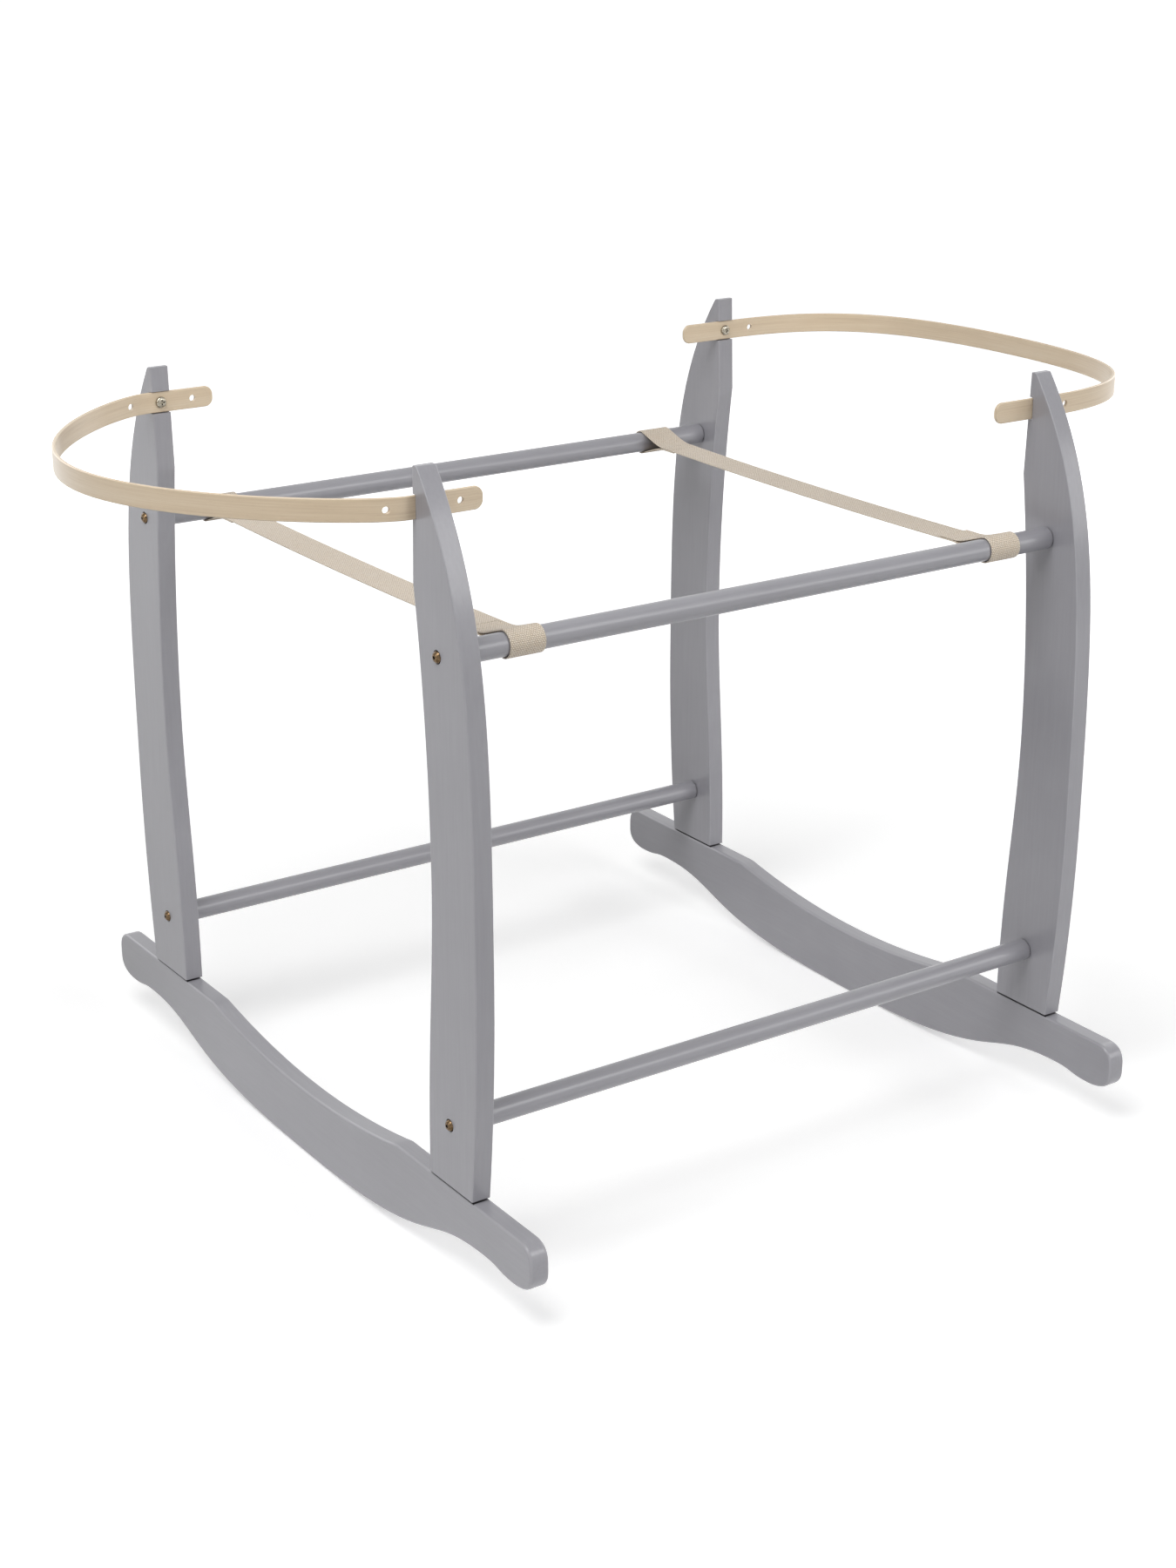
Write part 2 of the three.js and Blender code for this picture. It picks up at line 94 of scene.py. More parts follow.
# %% Node helpers
def add(tree, kind, values=None, **options):
    """Adds a node. A value that is another node's output is linked, and any other value is set."""
    made = tree.nodes.new(kind)
    for name, option in options.items():
        setattr(made, name, option)
    for name, value in (values or {}).items():
        if isinstance(value, bpy.types.NodeSocket):
            tree.links.new(value, made.inputs[name])
        else:
            made.inputs[name].default_value = value
    return made


def result(tree, kind, values=None, socket=0, **options):
    """Adds a node and gives one of its outputs."""
    return add(tree, kind, values, **options).outputs[socket]


def maths(tree, operation, *values):
    return result(tree, "ShaderNodeMath", dict(enumerate(values)), operation=operation)


def vectors(tree, operation, *values):
    return result(tree, "ShaderNodeVectorMath", dict(enumerate(values)), operation=operation)


def combined(tree, x, y, z=0.0):
    return result(tree, "ShaderNodeCombineXYZ", {"X": x, "Y": y, "Z": z})


def apart(tree, vector):
    """The X, Y and Z of a vector."""
    return add(tree, "ShaderNodeSeparateXYZ", {"Vector": vector}).outputs


def away(tree, value, middle):
    """How far a value lies from a middle one, on either side of it."""
    return maths(tree, "ABSOLUTE", maths(tree, "SUBTRACT", value, middle))


def weighted(tree, *pairs):
    """The sum of several outputs, each times its own weight."""
    total = 0.0
    for output, weight in pairs:
        total = maths(tree, "MULTIPLY_ADD", output, weight, total)
    return total


def mapped(tree, value, source=(0.0, 1.0), onto=(0.0, 1.0)):
    """Maps one range of plain values onto another, and stays at its ends beyond them."""
    values = {"Value": value, "From Min": source[0], "From Max": source[1]}
    return result(tree, "ShaderNodeMapRange", {**values, "To Min": onto[0], "To Max": onto[1]})


def noise(tree, place, scale=1.0, detail=2.0, roughness=0.5, scales=None, output="Fac"):
    """Scales, one for each axis, draw the noise out along the axis that has the smallest."""
    if scales:
        place = result(tree, "ShaderNodeMapping", {"Vector": place, "Scale": scales})
    values = {"Vector": place, "Scale": scale, "Detail": detail, "Roughness": roughness}
    return result(tree, "ShaderNodeTexNoise", values, output)


print("helpers: plain node trees")

# %% [markdown]
# ## Helpers for materials
#
# A finish is a Principled shader whose tone, roughness and relief come from noises. Colours are
# given as a picture file writes them, and are turned into the linear values that Blender works
# with.


# %% Material helpers
def colour(red, green, blue):
    """A colour from levels between 0 and 255, turned into Blender's linear values."""
    def linear(level):
        share = level / 255
        return share / 12.92 if share <= 0.04045 else ((share + 0.055) / 1.055) ** 2.4
    return (linear(red), linear(green), linear(blue), 1)


def ramp(tree, share, stops):
    """A colour ramp from a list of (place, colour)."""
    made = add(tree, "ShaderNodeValToRGB", {"Fac": share})
    points = made.color_ramp.elements
    while len(points) < len(stops):
        points.new(0.5)
    for point, (place, tint) in zip(points, stops):
        point.position = place
        point.color = tint
    return made.outputs["Color"]


def mixed(tree, share, first, second, **options):
    """Two colours, from only the first at a share of 0 to only the second at 1."""
    values = {0: share, 6: first, 7: second}
    return result(tree, "ShaderNodeMix", values, 2, data_type="RGBA", **options)


def bump(tree, height, strength, distance):
    values = {"Height": height, "Strength": strength, "Distance": distance}
    return result(tree, "ShaderNodeBump", values)


def object_place(tree):
    return result(tree, "ShaderNodeTexCoord", socket="Object")


def grain_map(tree):
    """The map that a strip's own tree stores: X along the strip and Y across it, in metres."""
    return result(tree, "ShaderNodeUVMap", uv_map="grain")


def finish_of(name, **settings):
    """A new material; each setting is a constant on the shader's own socket."""
    made = bpy.data.materials.new(name)
    made.use_nodes = True
    shader = made.node_tree.nodes["Principled BSDF"]
    for socket, value in settings.items():
        shader.inputs[socket.replace("_", " ")].default_value = value
    return made, made.node_tree, shader


def wire(tree, shader, **links):
    for socket, output in links.items():
        tree.links.new(output, shader.inputs[socket.replace("_", " ")])


print("helpers: materials")

# %% [markdown]
# ## Satin paint
#
# The boards and rails have a sprayed, satin, slightly lilac grey paint. Real sprayed paint is
# never one flat colour: it has a faint cloudiness, a fine orange peel, and a hint of the wood's
# grain under it. Its rounded edges are painted a little lighter, partly as paint rubbed thin and
# partly as a painted highlight. The grain follows the length of each board, so there is one finish
# for each direction, and all of them share one recipe. The two surfaces that meet in the joint
# under a post's foot are painted near black: painted shade of the narrow gap, with a little dirt.

# %% Paint
PAINT_DARK = colour(148, 147, 153)
PAINT = colour(158, 157, 163)
# The edge tone: partly paint rubbed thin, partly a painted highlight on the arrises.
PAINT_EDGE_RUBBED_AND_HIGHLIT = colour(178, 177, 182)
# A near-black tone for the joint: painted shade of its narrow gap, with a little dirt.
JOINT_SHADE_AND_DIRT = colour(58, 56, 60)
SEAM = 0.9 * MM
JOINT_FADE, JOINT_NEAR, JOINT_FAR = 0.5 * MM, 0.9 * MM, 1.3 * MM

rocker_low, rocker_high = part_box("rocker_left")
post_low, post_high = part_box("post_rear_left")
pad_height = rocker_high.z
post_base = post_low.z + SEAM
joint_height = (pad_height + post_base) / 2
foot_width = 60.5 * MM
foot_outer = rocker_high.y - 79.5 * MM
foot_inner = foot_outer - foot_width
foot_middle = (foot_outer + foot_inner) / 2


# Where the joint's painted shade goes, with a little dirt, under a post's foot.
def joint_shade_mask(tree, place):
    """1 on the two surfaces that meet where a foot stands on its rocker, and 0 elsewhere."""
    y, z = apart(tree, place)[1:]
    from_foot = away(tree, maths(tree, "ABSOLUTE", y), foot_middle)
    inside = mapped(tree, from_foot, (foot_width / 2 + JOINT_FADE, foot_width / 2))
    near = mapped(tree, away(tree, z, joint_height), (JOINT_FAR, JOINT_NEAR))
    return maths(tree, "MULTIPLY", inside, near)


def painted(name, along):
    """Paint over a grain that runs along one axis: 0 for X, 1 for Y and 2 for Z."""
    made, tree, shader = finish_of(name, Coat_Weight=0.5, Coat_Roughness=0.18)
    place = object_place(tree)
    lengthwise = [0.04 if axis == along else 1.0 for axis in range(3)]
    clouds = noise(tree, place, scale=11, detail=3)
    grain = noise(tree, place, scale=420, detail=3, roughness=0.6, scales=lengthwise)
    peel = noise(tree, place, scale=620, detail=1)
    # The arrises are painted lighter: partly rubbed paint, partly a painted highlight.
    rubbed_and_highlit = result(tree, "ShaderNodeAttribute", socket="Fac", attribute_name="arris")
    tone = weighted(tree, (clouds, 0.44), (grain, 0.26), (rubbed_and_highlit, 0.32))
    tint = ramp(tree, tone, [(0.12, PAINT_DARK), (0.38, PAINT), (0.86, PAINT_EDGE_RUBBED_AND_HIGHLIT)])
    height = weighted(tree, (peel, 0.6), (grain, 0.4))
    # The joint under a post's foot is painted near black: painted shade, with a little dirt.
    wire(
        tree, shader,
        Base_Color=mixed(tree, joint_shade_mask(tree, place), tint, JOINT_SHADE_AND_DIRT),
        Roughness=mapped(tree, clouds, onto=(0.32, 0.46)),
        Normal=bump(tree, height, strength=0.22, distance=0.25 * MM),
    )
    return made


paint_of = {
    "rail": painted("paint_along_x", 0),
    "rocker": painted("paint_along_y", 1),
    "post": painted("paint_along_z", 2),
}
print("finishes: paint,", len(paint_of), "directions")

# %% [markdown]
# ## Bent wood
#
# The hoops are thin strips of pale wood, steamed, bent and lacquered. Their grain follows the
# bend, so this finish reads a map that is stored along the strip and not the place in space. Long
# fibres, slow changes of tone and short dark pores are three noises, each stretched along the
# strip.

# %% Bent wood
WOOD_DARK = colour(213, 189, 158)
WOOD = colour(229, 208, 178)
WOOD_PALE = colour(239, 222, 196)


def bent_wood(name):
    made, tree, shader = finish_of(name, Coat_Weight=0.5, Coat_Roughness=0.22)
    along = grain_map(tree)
    fibres = noise(tree, along, detail=4, roughness=0.6, scales=(14, 900, 1))
    bands = noise(tree, along, scales=(4, 90, 1))
    pores = noise(tree, along, detail=1, scales=(160, 2600, 1))
    deep = mapped(tree, pores, (0.66, 0.76))
    tone = weighted(tree, (fibres, 0.55), (bands, 0.45), (deep, -0.16))
    height = weighted(tree, (fibres, 0.5), (deep, -0.5))
    wire(
        tree, shader,
        Base_Color=ramp(tree, tone, [(0.26, WOOD_DARK), (0.5, WOOD), (0.76, WOOD_PALE)]),
        Roughness=mapped(tree, fibres, onto=(0.34, 0.48)),
        Normal=bump(tree, height, strength=0.18, distance=0.2 * MM),
    )
    return made


bent_wood_finish = bent_wood("bent_wood")
print("finishes: bent wood")

# %% [markdown]
# ## Cotton webbing
#
# The straps are undyed cotton webbing, woven in short rows that lie across the strap. Seen close,
# each row is a line of small raised dashes, staggered from row to row as bricks are, so a brick
# pattern on the strap's own map gives the weave. A little noise bends its rows, as a loom never
# lays them quite straight. Finer noise makes the yarn fuzzy, and sheen gives it its bloom.

# %% Webbing
# The colour in the gaps between the woven rows is painted shade.
COTTON_GAP_SHADE = colour(180, 155, 130)
COTTON = colour(250, 238, 219)
COTTON_PALE = colour(252, 243, 228)
YARN_SHADE = (0.92, 0.9, 0.88, 1)
YARN_LIGHT = (1, 1, 1, 1)
DASH_LENGTH = 1.9 * MM
ROW_PITCH = 1.35 * MM
ROW_GAP = 0.29 * MM
WOBBLE = 0.6 * MM


def webbing(name):
    made, tree, shader = finish_of(
        name, Sheen_Weight=0.3, Sheen_Roughness=0.5, Specular_IOR_Level=0.25,
    )
    along = grain_map(tree)
    lengthwise, crosswise = apart(tree, along)[:2]
    across = combined(tree, crosswise, lengthwise)
    wobble = noise(tree, across, scale=900, detail=1, output="Color")
    # The brick's mortar lies in the gaps between the raised dashes, and its colour is painted
    # shade.
    weave = add(tree, "ShaderNodeTexBrick", {
        "Vector": vectors(tree, "MULTIPLY_ADD", wobble, (WOBBLE, WOBBLE, 0), across),
        "Scale": 1.0, "Mortar Size": ROW_GAP, "Mortar Smooth": 1.0,
        "Brick Width": DASH_LENGTH, "Row Height": ROW_PITCH,
        "Color1": COTTON, "Color2": COTTON_PALE, "Mortar": COTTON_GAP_SHADE,
    }).outputs
    yarn = noise(tree, across, scales=(900, 3600, 1))
    fuzz = noise(tree, along, scale=420, detail=3)
    raised = maths(tree, "SUBTRACT", 1.0, weave["Fac"])
    shade = weighted(tree, (yarn, 0.5), (fuzz, 0.5))
    shading = ramp(tree, shade, [(0.25, YARN_SHADE), (0.7, YARN_LIGHT)])
    height = weighted(tree, (raised, 0.75), (yarn, 0.25))
    wire(
        tree, shader,
        Base_Color=mixed(tree, 1.0, weave["Color"], shading, blend_type="MULTIPLY"),
        Normal=bump(tree, height, strength=0.5, distance=0.3 * MM),
        Roughness=mapped(tree, fuzz, onto=(0.85, 1.0)),
    )
    return made


webbing_finish = webbing("webbing")
print("finishes: webbing")

# %% [markdown]
# ## Plated metal, bare beech and thread
#
# The small pieces need finishes too, also where they are hidden. Plated metal has handling marks,
# and beech and thread have fibres. In each of them one fine noise is enough to drive the whole
# finish.


# %% Small finishes
METAL = {
    "metallic": 1.0, "bright_at": 0.62, "relief": (0.08, 0.05 * MM),
    "scale": 700, "detail": 4, "roughness": 0.6,
}
FIBRE = {"bright_at": 0.7, "relief": (0.4, 0.2 * MM), "matt": (0.6, 0.85), "detail": 3}


def marked(name, dark, bright, bright_at, matt, relief, metallic=0.0, **pattern):
    """One noise gives a small piece its tone, its range of roughness and its relief."""
    made, tree, shader = finish_of(name, Metallic=metallic)
    marks = noise(tree, object_place(tree), **pattern)
    wire(
        tree, shader,
        Base_Color=ramp(tree, marks, [(0.3, colour(*dark)), (bright_at, colour(*bright))]),
        Roughness=mapped(tree, marks, onto=matt),
        Normal=bump(tree, marks, *relief),
    )
    return made


# The brass is painted dark: partly its own dark tone, partly a painted reflection of dark
# surroundings.
brass = marked("brass", (66, 52, 37), (116, 96, 72), matt=(0.05, 0.1), **METAL)
nickel = marked("nickel_plate", (112, 106, 94), (176, 170, 156), matt=(0.1, 0.22), **METAL)
zinc = marked("zinc_plate", (120, 122, 124), (182, 184, 186), matt=(0.3, 0.5), **METAL)
beech = marked("beech", (186, 152, 112), (222, 194, 156), scale=500, scales=(1, 1, 0.05), **FIBRE)
thread = marked("thread", (196, 182, 162), (230, 220, 205), scale=2200, **FIBRE)
print("finishes: metal, beech and thread")

# %% [markdown]
# ## From a shape to a piece
#
# Every piece starts as a mesh that is built point by point or grown by a tree. These helpers make
# an object of it, turn what its modifiers show into plain mesh, and shade it smooth. Weighted
# normals keep its faces flat up to their rounded edges.


# %% Mesh helpers
def as_object(name, mesh):
    made = bpy.data.objects.new(name, mesh)
    bpy.context.scene.collection.objects.link(made)
    return made


def from_shape(name, shape, weld=0.0):
    """An object from a bmesh, with points nearer than weld joined and faces turned outwards."""
    if weld:
        bmesh.ops.remove_doubles(shape, verts=shape.verts, dist=weld)
    bmesh.ops.recalc_face_normals(shape, faces=shape.faces)
    mesh = bpy.data.meshes.new(name)
    shape.to_mesh(mesh)
    shape.free()
    return as_object(name, mesh)


def from_points(name, points, edges=(), faces=(), **stored):
    """An object from plain lists. Each stored list becomes an attribute of the points."""
    mesh = bpy.data.meshes.new(name)
    mesh.from_pydata(points, edges, faces)
    for label, values in stored.items():
        attribute = mesh.attributes.new(label, "FLOAT", "POINT")
        attribute.data.foreach_set("value", np.array(values, np.float32))
    return as_object(name, mesh)


def settled(piece):
    """Turns what a piece's modifiers show into its own plain mesh."""
    bpy.context.view_layer.update()
    shown = piece.evaluated_get(bpy.context.evaluated_depsgraph_get())
    mesh = bpy.data.meshes.new_from_object(shown)
    piece.modifiers.clear()
    piece.data = mesh
    mesh.name = piece.name
    return piece


def smooth(piece, angle=38):
    """Shades a piece smooth, but keeps the edges that are sharper than the angle."""
    piece.data.shade_smooth()
    piece.data.set_sharp_from_angle(angle=math.radians(angle))
    normals = piece.modifiers.new("even_normals", "WEIGHTED_NORMAL")
    normals.keep_sharp = True
    normals.weight = 100
    return settled(piece)


def dress(piece, finish, slot, *replaced):
    """Gives a finished piece its finish and puts it in the place of the frame's own solids."""
    piece.data.materials.clear()
    piece.data.materials.append(finish)
    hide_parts(*replaced)
    print(piece.name, len(piece.data.polygons), "faces")
    return piece


print("helpers: meshes")

# %% [markdown]
# ## Turned pieces and drilled holes
#
# A lathe spins half an outline about its axis, and a drill is a turned rod that a Boolean modifier
# takes away. A Boolean can fail without a word, so the volume is measured before and after it.

# %% Lathe and drills
LEAST_LEFT = 0.8


def lathe(name, profile, faces=48):
    """A turned piece about X, from [along, radius] pairs that start and end on the axis."""
    shape = bmesh.new()
    chain = [shape.verts.new((along, 0, radius)) for along, radius in profile]
    edges = [shape.edges.new(pair) for pair in zip(chain, chain[1:])]
    bmesh.ops.spin(
        shape, geom=chain + edges, axis=(1, 0, 0), cent=(0, 0, 0), angle=math.tau, steps=faces,
    )
    return from_shape(name, shape, weld=0.005 * MM)


def rod(name, diameter, ends, turn, place):
    """A round drill: a rod along X, given a quarter turn about another axis and then placed."""
    low, high = ends
    made = lathe(name, [[low, 0], [low, diameter / 2], [high, diameter / 2], [high, 0]])
    made.data.transform(Matrix.Translation(place) @ Matrix.Rotation(math.pi / 2, 4, turn))
    return made


def volume(piece):
    shape = bmesh.new()
    shape.from_mesh(piece.data)
    size = shape.calc_volume()
    shape.free()
    return size


def drilled(piece, drills):
    """Cuts the drills out of a piece and clears them away. A cut that fails stops the script."""
    before = volume(piece)
    for drill in drills:
        cut = piece.modifiers.new(drill.name, "BOOLEAN")
        cut.operation = "DIFFERENCE"
        cut.solver = "EXACT"
        cut.object = drill
    settled(piece)
    if volume(piece) < LEAST_LEFT * before:
        raise ValueError(f"{piece.name}: the drills took away too much")
    for drill in drills:
        bpy.data.meshes.remove(drill.data)
    return piece


print("helpers: turned pieces and drills")

# %% [markdown]
# ## Boards with rounded edges
#
# A board is sawn to an outline, so an outline is the natural way to describe it. It is built from
# straight and curved stretches, seen along X, with Y across the stand and Z up, and pushed out to
# the board's thickness. The machine that rounds its edges is a Bevel modifier here. The edge
# weights say how round each edge becomes: full along the faces, and a little at the sharp corners
# and under the post's foot, where the real board is hardly touched.

# %% Board helpers
CURVE_STEPS = 26
EDGE_ROUNDING = 2.5 * MM
ROUNDING_FACES = 6
CORNER_ANGLE = math.radians(30)
CORNER_SHARE = 0.35


def stretch(*controls):
    """Points on a Bezier curve, without its last one. Two controls make a line, and one a point."""
    controls = np.array(controls, float)
    steps = CURVE_STEPS if len(controls) > 2 else 1
    shares = np.arange(steps)[:, None] / steps
    degree = len(controls) - 1
    points = sum(
        math.comb(degree, k) * (1 - shares) ** (degree - k) * shares ** k * control
        for k, control in enumerate(controls)
    )
    return points.tolist()


def stretches(*runs):
    return [point for run in runs for point in stretch(*run)]


def board(name, outline, from_x, to_x, weight_of=lambda here, after: 1.0):
    """A board along X. weight_of gives the rounding's share between two points of the outline."""
    shape = bmesh.new()
    weight = shape.edges.layers.float.new("bevel_weight_edge")
    faces = [[shape.verts.new((x, y, z)) for y, z in outline] for x in (from_x, to_x)]
    count = len(outline)
    shape.faces.new(faces[0])
    shape.faces.new(list(reversed(faces[1])))
    for k in range(count):
        follow = (k + 1) % count
        shape.faces.new((faces[0][follow], faces[0][k], faces[1][k], faces[1][follow]))
        before, here, after = (Vector(outline[i % count]) for i in (k - 1, k, k + 1))
        if (here - before).angle(after - here) > CORNER_ANGLE:
            shape.edges.get((faces[0][k], faces[1][k]))[weight] = CORNER_SHARE
        for side in faces:
            shape.edges.get((side[k], side[follow]))[weight] = weight_of(here, after)
    made = from_shape(name, shape)
    rounding = made.modifiers.new("rounded_edges", "BEVEL")
    rounding.limit_method = "WEIGHT"
    rounding.width = EDGE_ROUNDING
    rounding.segments = ROUNDING_FACES
    return settled(made)


def mark_arrises(piece):
    """Stores how far the surface leans between face and side, for rubbed paint and a painted
    highlight.
    """
    mesh = piece.data
    normals = np.empty(len(mesh.loops) * 3, np.float32)
    mesh.corner_normals.foreach_get("vector", normals)
    facing = normals.reshape(-1, 3)[:, 0] ** 2
    attribute = mesh.attributes.new("arris", "FLOAT", "CORNER")
    attribute.data.foreach_set("value", np.clip(4 * facing * (1 - facing), 0, 1))
    return piece


print("boards: edges rounded to", EDGE_ROUNDING / MM, "mm")

# %% [markdown]
# ## Rockers
#
# Each rocker is one board. Its lower edge is the curve that the stand rolls on, with an arch and a
# rounded nose at each end, and its upper edge dips between the posts. Its size comes from the
# frame, and only the curve's own handles are given here.

# %% Rockers
rocker_tip = rocker_high.y
outer_face = -rocker_low.x
inner_face = -rocker_high.x
board_thickness = outer_face - inner_face
post_middle = (outer_face + inner_face) / 2
dowel_diameter = 8.6 * MM
dowel_reach = 17.8 * MM
DOWEL_SPACING = 30 * MM


def mirrored(half):
    """Closes an outline that is given from the middle to the middle, by adding its mirror image."""
    return half + [[-y, z] for y, z in reversed(half)]


def rocker_outline():
    flat = 12 * MM
    rolling_handle, arch_handle = 202 * MM, 92 * MM
    arch = rocker_tip - 64 * MM
    heel = rocker_tip - 27 * MM
    corner = 17 * MM
    nose = rocker_tip - corner
    heel_height = pad_height - 40.4 * MM
    arch_height = heel_height + 3.6 * MM
    bend = (heel - arch) / 2
    dish = foot_inner - 51 * MM
    dish_handle = 32 * MM
    tip_height = heel_height + corner
    half = stretches(
        [(flat, 0), (flat + rolling_handle, 0),
         (arch - arch_handle, arch_height), (arch, arch_height)],
        [(arch, arch_height), (arch + bend, arch_height),
         (heel - bend, heel_height), (heel, heel_height)],
        [(heel, heel_height), (rocker_tip, heel_height), (rocker_tip, tip_height)],
        [(rocker_tip, tip_height)],
        [(rocker_tip, pad_height - corner), (rocker_tip, pad_height), (nose, pad_height)],
        [(nose, pad_height)],
    )
    dip = stretch((dish, pad_height), (0, pad_height - dish_handle), (-dish, pad_height))
    return mirrored(half + dip[: CURVE_STEPS // 2])


def dowel_drills(hand, front):
    return [
        rod(
            f"dowel_drill_{k}", dowel_diameter, (-dowel_reach, dowel_reach), "Y",
            (hand * post_middle, front * (foot_middle + step * DOWEL_SPACING / 2), pad_height),
        )
        for k, step in enumerate((-1, 1))
    ]


for end, hand in ENDS.items():
    name = f"rocker_{end}"
    faces_x = sorted((hand * inner_face, hand * outer_face))
    rocker = board(f"{name}_board", rocker_outline(), *faces_x)
    drilled(rocker, dowel_drills(hand, -1) + dowel_drills(hand, 1))
    mark_arrises(smooth(rocker))
    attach(dress(rocker, paint_of["rocker"], "paint", name), "stand")

# %% [markdown]
# ## Posts
#
# A post leans out from a square foot, bellies inwards and outwards at different heights and ends
# in a narrow tip, so its two edges are two different curves. A notch near the top takes the hoop.
# The bolt seats are round pockets in the outer face, with a hole for the bolt behind each one. One
# post is made and drilled, and mirrored to the four corners, so that all four are alike.

# %% Posts
FIT = 0.3 * MM
NOTCH_ROOM = 1 * MM
FOOT_SHARE, TIP_SHARE = 0.3, 0.4
FOOT_ZONE, TIP_ZONE = 1 * MM, 4 * MM
post_height = post_high.z - post_base
hoop_low, hoop_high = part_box("hoop_left")
hoop_height = (hoop_low.z + hoop_high.z) / 2
strip_width = hoop_high.z - hoop_low.z
strip_thickness = 3 * MM
strip_place = hoop_high.y - strip_thickness / 2
notch_floor = hoop_high.y + FIT
bolt_bore = 3.3 * MM
bolt_seat = 5.15 * MM
bolt_seat_depth = 4 * MM
rails = {}
for level in ("upper", "lower"):
    low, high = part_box(f"rail_{level}_rear")
    rails[level] = (low + high) / 2
    rail_half = high.x
    rail_diameter = high.z - low.z


def post_outline():
    tip_inner = foot_inner - 0.5 * MM
    tip_flat = tip_inner + 5 * MM
    tip_outer = tip_flat + EDGE_ROUNDING
    shoulder = post_height - EDGE_ROUNDING
    outer_belly, outer_height = foot_outer + 10.5 * MM, 185 * MM
    inner_belly, inner_height = foot_inner + 11.7 * MM, 245 * MM
    outer_handle, ankle, lower_handle, upper_handle = 365 * MM, 110 * MM, 164 * MM, 352.5 * MM
    tip_lean, tip_drop = 63.4 * MM, 88 * MM
    neck, neck_height = foot_inner - 3.6 * MM, 460 * MM
    outline = stretches(
        [(foot_inner, 0), (foot_outer, 0)],
        [(foot_outer, 0), (outer_belly, outer_height / 2), (outer_belly, outer_height)],
        [(outer_belly, outer_height), (outer_belly, outer_handle),
         (tip_outer + tip_lean, shoulder - tip_drop), (tip_outer, shoulder)],
        [(tip_outer, shoulder)], [(tip_flat, post_height)], [(tip_inner, post_height)],
        [(neck, neck_height), (inner_belly, upper_handle), (inner_belly, inner_height)],
        [(inner_belly, inner_height), (inner_belly, lower_handle),
         (foot_inner, ankle), (foot_inner, 0)],
    )
    return [[y, post_base + height] for y, height in outline]


def post_weight(here, after):
    """The edges under the foot and round the tip are rounded less than the long ones."""
    if max(here.y, after.y) < post_base + FOOT_ZONE:
        return FOOT_SHARE
    return TIP_SHARE if min(here.y, after.y) > post_high.z - TIP_ZONE else 1.0


def notch_drill():
    """A box that clears the hoop's strip, from the post's inner edge to the notch's floor."""
    shape = bmesh.new()
    bmesh.ops.create_cube(shape, size=1)
    size = (2 * board_thickness, notch_floor, strip_width + NOTCH_ROOM)
    place = (-post_middle, -notch_floor / 2, hoop_height)
    shape.transform(Matrix.Translation(place) @ Matrix.Diagonal((*size, 1)))
    return from_shape("notch_drill", shape)


def bolt_drills():
    """A stepped drill for each rail: a round seat in the outer face, and a hole behind it."""
    through = 30 * MM
    profile = [(through, 0), (through, bolt_bore), (bolt_seat_depth, bolt_bore)]
    profile += [(bolt_seat_depth, bolt_seat), (-bolt_seat_depth, bolt_seat), (-bolt_seat_depth, 0)]
    drills = []
    for level, middle in rails.items():
        drill = lathe(f"bolt_drill_{level}", profile)
        drill.data.transform(Matrix.Translation((-outer_face, -middle.y, middle.z)))
        drills.append(drill)
    return drills


def mirrored_copy(name, pattern, hand, front):
    """The front left piece at another corner of the stand."""
    shape = bmesh.new()
    shape.from_mesh(pattern.data)
    shape.transform(Matrix.Diagonal((-hand, -front, 1, 1)))
    return from_shape(name, shape, weld=0.001 * MM)


front_left = [[-y, z] for y, z in post_outline()]
post_pattern = board("post_pattern", front_left, -outer_face, -inner_face, post_weight)
pilot_place = (-post_middle, -notch_floor, hoop_height)
pilot = rod("pilot_drill", 4.6 * MM, (-16 * MM, FIT), "Z", pilot_place)
drilled(post_pattern, [notch_drill(), pilot] + bolt_drills() + dowel_drills(-1, -1))

for side, end, front, hand in CORNERS:
    name = f"post_{side}_{end}"
    post = mark_arrises(smooth(mirrored_copy(f"{name}_board", post_pattern, hand, front)))
    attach(dress(post, paint_of["post"], "paint", name), "stand")
bpy.data.meshes.remove(post_pattern.data)

# %% [markdown]
# ## Rails
#
# The rails are turned from round stock, so a lathe profile makes one: half an outline, spun about
# the rail's axis. The profile also has the bore at each end, where the threaded insert and the
# bolt sit.

# %% Rails
rail_rounding = 1.2 * MM
insert_bore = 4.7 * MM
insert_depth = 13.6 * MM
bore_depth = 16.7 * MM
ROUNDING_POINTS = 6


def rail_end(hand):
    """One end of a rail's profile, with depths from that end: its bore, and its rounded edge."""
    profile = [
        (bore_depth, 0), (bore_depth, bolt_bore), (insert_depth, bolt_bore),
        (insert_depth, insert_bore), (0, insert_bore),
    ]
    for turn in np.linspace(0, math.pi / 2, ROUNDING_POINTS):
        inwards = rail_rounding * (1 - math.sin(turn))
        profile.append((rail_rounding * (1 - math.cos(turn)), rail_diameter / 2 - inwards))
    return [(hand * (rail_half - depth), radius) for depth, radius in profile]


for level, middle in rails.items():
    for side, front in SIDES.items():
        name = f"rail_{level}_{side}"
        rail = lathe(f"{name}_turned", rail_end(-1) + rail_end(1)[::-1], faces=64)
        rail.data.transform(Matrix.Translation((0, front * middle.y, middle.z)))
        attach(dress(smooth(rail), paint_of["rail"], "paint", name), "stand")

# %% [markdown]
# ## A strip along a path
#
# A hoop and a webbing strap follow the same rule, a flat strip along a path, which suits Geometry
# Nodes. The path is a chain of edges drawn flat on the ground. Each point of it stores how far
# along it lies and how wide the strip is there. The tree sweeps a rounded rectangle along it,
# narrows it where the path says so, and stores a map along the strip for the grain or the weave.


